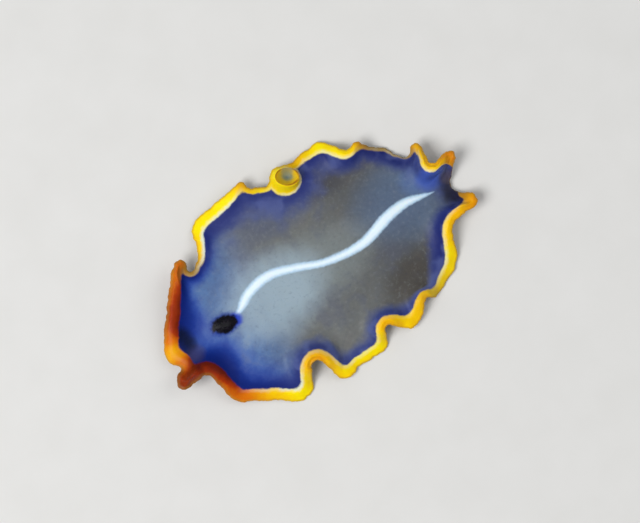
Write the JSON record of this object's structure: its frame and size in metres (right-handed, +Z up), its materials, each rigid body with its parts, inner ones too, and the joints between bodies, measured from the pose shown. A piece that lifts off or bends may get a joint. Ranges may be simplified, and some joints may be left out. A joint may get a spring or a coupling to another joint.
{
  "type": "cycloporus venetus polyclad flatworm",
  "caption": "Life-size marine flatworm lying on a level floor: a thin oval sheet with a ruffled, upturned margin, raised front tentacles, a pale middle stripe and a dark eye patch.",
  "frame": {"origin": "centre of the body's box seen from above, on the floor plane that the sole rests on", "axes": "+X towards the head, +Y to the animal's left, +Z up"},
  "size_m": [0.0222, 0.0138, 0.0022],
  "materials": {
    "margin_yellow": "wet skin, yellow with orange-brown crests, a thin white line inside it",
    "margin_orange": "wet skin, deep orange",
    "margin_tail_blue": "wet skin, dark blue with a thin pale rim",
    "back_blue": "wet skin, grey along the middle and blue towards the margin, mottled",
    "head_blue": "wet skin, vivid blue",
    "stripe_pale": "wet skin, pale bluish white",
    "eye_patch_navy": "wet skin, near-black navy"
  },
  "bodies": {
    "root": {"margin_left_1": "margin_yellow", "margin_left_2": "margin_yellow", "margin_left_3": "margin_yellow", "margin_left_4": "margin_yellow", "margin_left_5": "margin_yellow", "margin_left_6": "margin_yellow", "margin_curl_tail": "margin_yellow", "margin_right_5": "margin_yellow", "margin_right_4": "margin_yellow", "margin_ring": "margin_yellow", "margin_right_2": "margin_yellow", "margin_right_1": "margin_yellow", "pseudotentacle_left": "margin_orange", "pseudotentacle_right": "margin_orange", "margin_front": "margin_orange", "margin_tail": "margin_tail_blue", "trunk_left_front": "back_blue", "trunk_left_middle": "back_blue", "trunk_left_rear": "back_blue", "trunk_right_front": "back_blue", "trunk_right_middle": "back_blue", "trunk_right_rear": "back_blue", "tail": "back_blue", "head": "head_blue", "stripe_front": "stripe_pale", "stripe_middle": "stripe_pale", "stripe_rear": "stripe_pale", "eye_patch": "eye_patch_navy"}
  },
  "joints": []
}
